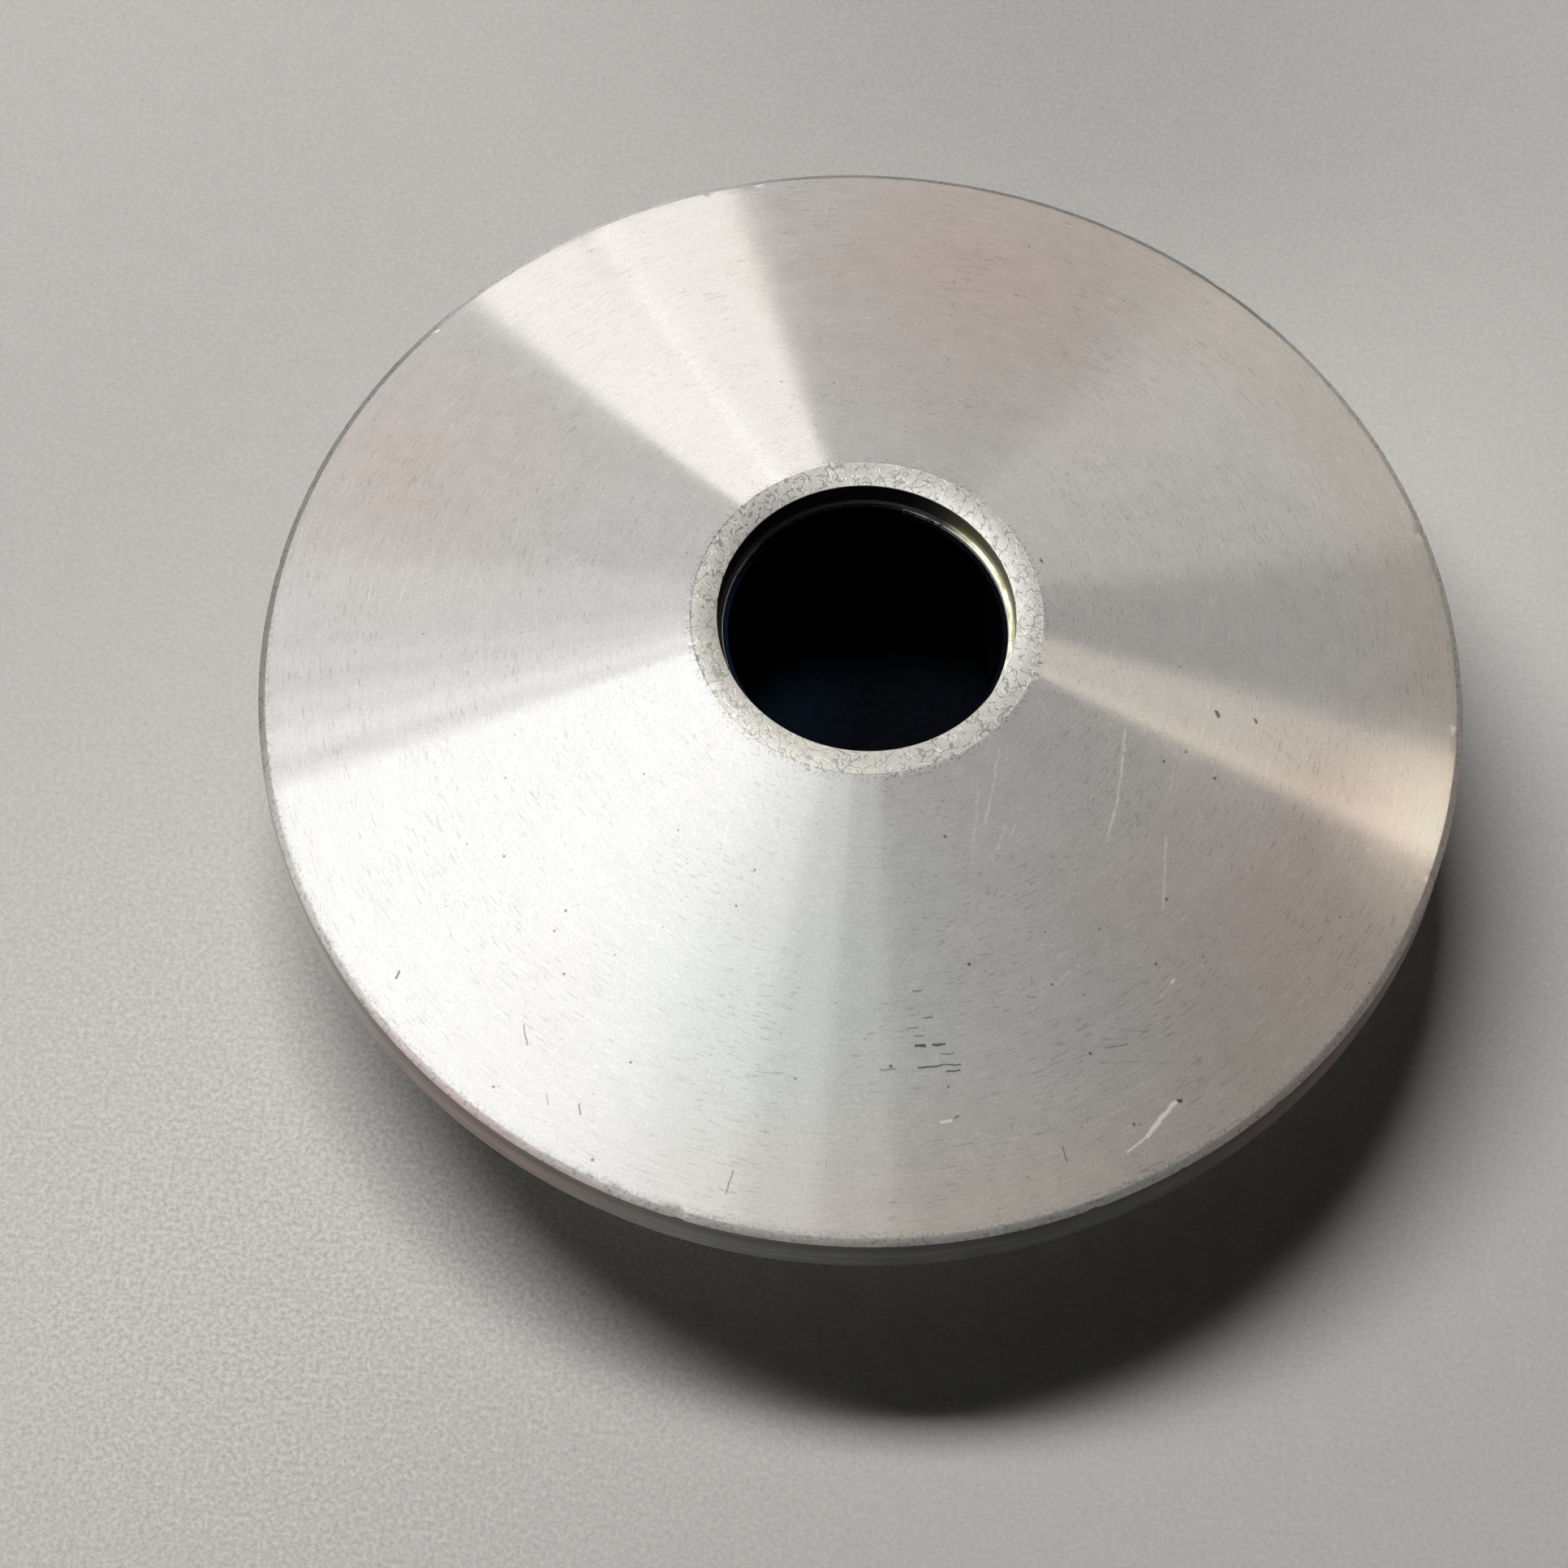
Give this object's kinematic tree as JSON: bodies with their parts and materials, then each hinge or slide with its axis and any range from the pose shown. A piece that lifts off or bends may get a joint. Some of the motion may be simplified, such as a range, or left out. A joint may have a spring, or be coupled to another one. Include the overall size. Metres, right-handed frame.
{
  "type": "turned conical flange",
  "caption": "One-piece turned aluminium flange with a shallow conical nose, a flat lip round a stepped blind bore, and a plain locating spigot behind the rim.",
  "frame": {"origin": "centre of the spigot's end face, on the axis, where the part stands", "axes": "+Z along the axis, out through the conical nose; X and Y are any two directions across it"},
  "size_m": [0.07, 0.07, 0.0214],
  "materials": {
    "turned_aluminium": "bare, fine turned, with light handling scratches; the bore below its ledge is blackened"
  },
  "bodies": {
    "root": {"conical_flange": "turned_aluminium"}
  },
  "joints": []
}
